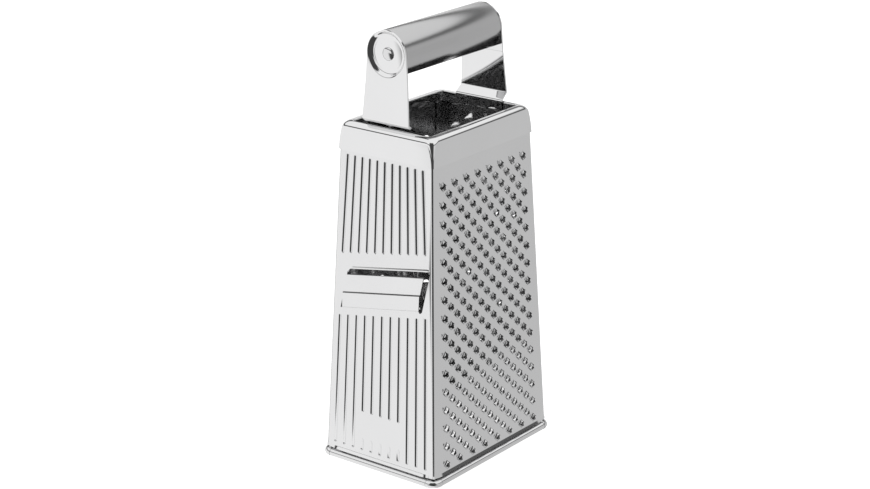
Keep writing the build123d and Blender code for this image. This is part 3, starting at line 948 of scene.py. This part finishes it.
def collar_rings(inset):
    """Rings up the skirt, over the shoulder and in to the lip's fold, set in from the outside by inset."""
    turn_radius = shoulder_radius - inset
    rings = []
    shoulder_z = collar_high.z - shoulder_radius
    for step in range(-skirt_steps, shoulder_steps + 1):
        turn = pi / 2 * max(step, 0) / shoulder_steps
        drop = max(-step, 0) / skirt_steps
        z = shoulder_z - (shoulder_z - collar_low.z) * drop + turn_radius * sin(turn)
        reach = collar_reach - inset - turn_radius * (1 - cos(turn))
        corner = skirt_corner_radius + skirt_corner_growth * (1 - drop) ** 2
        corner += shoulder_corner_growth * sin(turn) - inset
        rings.append(frame_ring(half_length(z) + reach, half_width(z) + reach, corner, z))
    fold_half = (mouth_half_length + lip_fold, mouth_half_width + lip_fold)
    rings.append(frame_ring(*fold_half, mouth_corner_radius + lip_fold, collar_high.z - inset))
    return rings


def lip_run(fold, z):
    """The line that half of the lip follows, from bracket to bracket, set out from the mouth by fold."""
    half_x, half_y = mouth_half_length + fold, mouth_half_width + fold
    radius = mouth_corner_radius + fold
    run = [(half_x, notch_half_width, z)]
    for middle_x, start in ((half_x - radius, 0), (radius - half_x, pi / 2)):
        for step in range(mouth_corner_steps + 1):
            turn = start + pi / 2 * step / mouth_corner_steps
            run.append((middle_x + radius * cos(turn), half_y - radius + radius * sin(turn), z))
    return run + [(-half_x, notch_half_width, z)]


collar = Blank()
outside, inside = collar_rings(0), collar_rings(collar_sheet)
collar.bridge(outside + inside[::-1], looped=True)
lip_section = []
for radius, low_end in ((lip_fold, False), (lip_fold - collar_sheet, True)):
    part = []
    for step in range(lip_fold_steps + 1):
        turn = pi / 2 * step / lip_fold_steps
        part.append((lip_fold - radius * sin(turn), collar_high.z - lip_fold + radius * cos(turn)))
    part.append((lip_fold - radius, collar_high.z - lip_depth))
    lip_section += part[::-1] if low_end else part
for side in (1, -1):
    runs = []
    for fold, z in lip_section:
        runs.append([(x, side * y, height) for x, y, height in lip_run(fold, z)])
    collar.bridge(runs, closed=False, looped=True)
    collar.cap([run[0] for run in runs])
    collar.cap([run[-1] for run in runs])
collar_steel = rolled_steel("collar_steel", grey=0.80, roughness=0.07, grain=(0.5, 0.5, 4.0), depth=0.0004)
pressed_collar = collar.form("pressed_collar", collar_steel)
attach(pressed_collar, "root")
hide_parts("top_collar")

# Brackets
# Two polished strips carry the grip. Each is cranked in past the collar's rim and out again to a tab that is
# spot welded inside a narrow plate, and dished at the top, where the dish plugs the grip's end.

tube_low, tube_high = corners("grip_tube")
grip_radius = (tube_high.z - tube_low.z) / 2
grip_height = (tube_high.z + tube_low.z) / 2
strip = 1.0
strip_gap = 0.1
strip_face = tube_high.x + strip_gap + strip
strip_half_foot = 16.0
crank_top = 200.0
crank_bottom = 196.5
strip_foot_face = 39.8
foot_bottom = 190.2
tab_top = 186.6
tab_bottom = 180.6
tab_corner_radius = 2.0
tab_corner_steps = 4
strip_bend = 1.6
strip_bend_steps = 5
strip_splay = 1.6
strip_shoulder = grip_height - grip_radius
arch_steps = 48
dish_points = 72
dish_turns = [2 * pi * number / dish_points for number in range(dish_points)]

# The dish's outside and its back, from its edge in to the rod's hole: radius, and depth from the strip's face
dish_section = ((12.9, 0.0), (12.7, 0.04), (12.45, 0.14), (12.15, 0.34), (11.85, 0.62), (11.55, 0.95))
dish_section += ((11.3, 1.25), (11.05, 1.5), (10.75, 1.7), (10.4, 1.83), (10.0, 1.88), (9.5, 1.88))
dish_section += ((9.3, 1.93), (9.1, 1.88), (2.0, 1.88))
dish_back = ((12.9, 1.0), (12.25, 1.0), (12.2, 1.4), (11.9, 2.1), (11.5, 2.6), (11.0, 2.7), (2.0, 2.7))


def strip_path():
    """Places along the strip's outside, from its straight part down to the tab's end, with rounded bends."""
    points = [Vector((strip_face, strip_shoulder)), Vector((strip_face + strip_splay, crank_top))]
    points += [Vector((strip_foot_face, crank_bottom)), Vector((strip_foot_face, foot_bottom))]
    for z in (tab_top, tab_bottom):
        points.append(Vector((half_length(z) - sheet - strip_gap, z)))
    path = [points[0]]
    for before, corner, after in zip(points, points[1:], points[2:]):
        way_in, way_out = (corner - before).normalized(), (after - corner).normalized()
        turn = way_in.angle(way_out)
        tangent = strip_bend * tan(turn / 2)
        start, end = corner - way_in * tangent, corner + way_out * tangent
        for step in range(strip_bend_steps + 1):
            share = step / strip_bend_steps
            path.append(start * (1 - share) ** 2 + corner * 2 * share * (1 - share) + end * share ** 2)
    return path + [points[-1]]


def strip_half(z):
    """Half the strip's width at a height. Its tab's lower corners are round."""
    if z < tab_bottom + tab_corner_radius:
        drop = tab_bottom + tab_corner_radius - z
        return strip_half_foot - tab_corner_radius + (max(tab_corner_radius ** 2 - drop ** 2, 0)) ** 0.5
    if z < crank_bottom:
        return strip_half_foot
    share = min((z - crank_bottom) / (grip_height - crank_bottom), 1)
    return strip_half_foot + (grip_radius - strip_half_foot) * share


def bracket(side):
    """One bracket. side is 1 at the right end of the grip and -1 at the left end."""
    blank = Blank()
    path = strip_path()
    last = path.pop()
    foot = path[-1]
    for step in range(tab_corner_steps + 1):
        rise = tab_corner_radius * (1 - step / tab_corner_steps) ** 2 / (foot.y - last.y)
        path.append(last + (foot - last) * rise)
    rows = []
    for number, spot in enumerate(path):
        before, after = path[max(number - 1, 0)], path[min(number + 1, len(path) - 1)]
        way = (after - before).normalized()
        inwards = Vector((way.y, -way.x)) * strip
        half = strip_half(spot.y)
        row = []
        for place, y in ((spot, -half), (spot, half), (spot + inwards, half), (spot + inwards, -half)):
            row.append((side * place.x, y, place.y))
        rows.append(row)
    blank.bridge(rows)
    blank.cap(rows[-1])
    low_half = strip_half(strip_shoulder)
    outline = [(low_half, strip_shoulder)]
    for step in range(arch_steps + 1):
        turn = pi * step / arch_steps
        outline.append((grip_radius * cos(turn), grip_height + grip_radius * sin(turn)))
    outline.append((-low_half, strip_shoulder))
    hole_rings = []
    for depth, section in ((0.0, dish_section), (strip, dish_back)):
        rings = []
        for radius, sunk in section:
            x = side * (strip_face - sunk)
            rings.append([(x, radius * cos(turn), grip_height + radius * sin(turn)) for turn in dish_turns])
        blank.bridge(rings)
        hole_rings.append(rings[-1])
        flat = [Vector(point) for point in outline] + [Vector(point[1:]) for point in rings[0]]
        count = len(outline)
        edges = [(i, (i + 1) % count) for i in range(count)]
        edges += [(count + i, count + (i + 1) % dish_points) for i in range(dish_points)]
        points, _, triangles, origins, _, _ = delaunay_2d_cdt(flat, edges, [], 1, join_distance)
        numbers = blank.place([(side * (strip_face - depth), point.x, point.y) for point in points])
        for triangle in triangles:
            if not all(max(origins[i]) >= count for i in triangle):
                blank.faces.append([numbers[i] for i in triangle])
    edge_rows = [[(side * (strip_face - depth), y, z) for y, z in outline] for depth in (0.0, strip)]
    blank.bridge(edge_rows, closed=False)
    blank.bridge(hole_rings)
    return blank


bracket_steel = rolled_steel(
    "bracket_steel", grey=0.80, roughness=0.04, grain=(0.5, 0.5, 4.0), depth=0.0002, swing=0.005
)
for name, node, side in (
    ("right_bracket", "right_handle_bracket", 1),
    ("left_bracket", "left_handle_bracket", -1),
):
    piece = bracket(side).form(name, bracket_steel)
    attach(piece, "root")
    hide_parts(node)

# Grip
# A plain steel tube between the brackets, brushed along its length. Its ends are eased and sit on the rims
# of the brackets' dishes.

grip_wall = 0.8
end_ease = 0.25
ease_middle = 0.3 * end_ease
grip_points = 96


def turned_ring(x, radius, count):
    """A ring round the grip's axis."""
    turns = [2 * pi * number / count for number in range(count)]
    return [(x, radius * sin(turn), grip_height + radius * cos(turn)) for turn in turns]


tube = Blank()
tube_places = []
for side in (-1, 1):
    end = side * tube_high.x
    eased = [(end - side * end_ease, grip_radius), (end - side * ease_middle, grip_radius - ease_middle)]
    eased += [(end, grip_radius - end_ease), (end, grip_radius - grip_wall)]
    tube_places += eased[::-1] if side < 0 else eased
tube.bridge([turned_ring(x, radius, grip_points) for x, radius in tube_places], looped=True)
grip_steel = rolled_steel(
    "grip_steel", grey=0.57, roughness=0.22, grain=(9.0, 0.16, 0.16), depth=0.0014, swing=0.0
)
grip = tube.form("grip", grip_steel)
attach(grip, "root")
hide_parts("grip_tube")

# Tie rod
# A steel rod runs through the grip. Both of its ends are peened over into low domed heads on the floors of
# the dishes, which clamps the brackets on the tube.

rod_radius = 2.0
head_radius = 3.65
head_rise = 1.15
head_edge = 0.15
head_undercut = 0.12
head_tip = 0.02
dish_floor = 1.88
head_steps = 9
head_sharp_turn = 40
rod_points = 40

rod = Blank()
rod_places = []
for side in (-1, 1):
    seat = strip_face - dish_floor
    part = [(side * seat, rod_radius), (side * seat, head_radius - head_undercut)]
    part.append((side * (seat + head_edge), head_radius))
    for step in range(1, head_steps + 1):
        turn = pi / 2 * step / head_steps
        part.append((side * (seat + head_edge + head_rise * sin(turn)), head_radius * cos(turn) + head_tip))
    rod_places += part[::-1] if side < 0 else part
rod.prism([turned_ring(x, radius, rod_points) for x, radius in rod_places])
rod_steel = rolled_steel("rod_steel", grey=0.74, roughness=0.14, grain=(0.4, 0.4, 0.4), depth=0.0015)
peened_rod = rod.form("peened_rod", rod_steel, head_sharp_turn)
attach(peened_rod, "root")
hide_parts("tie_rod")
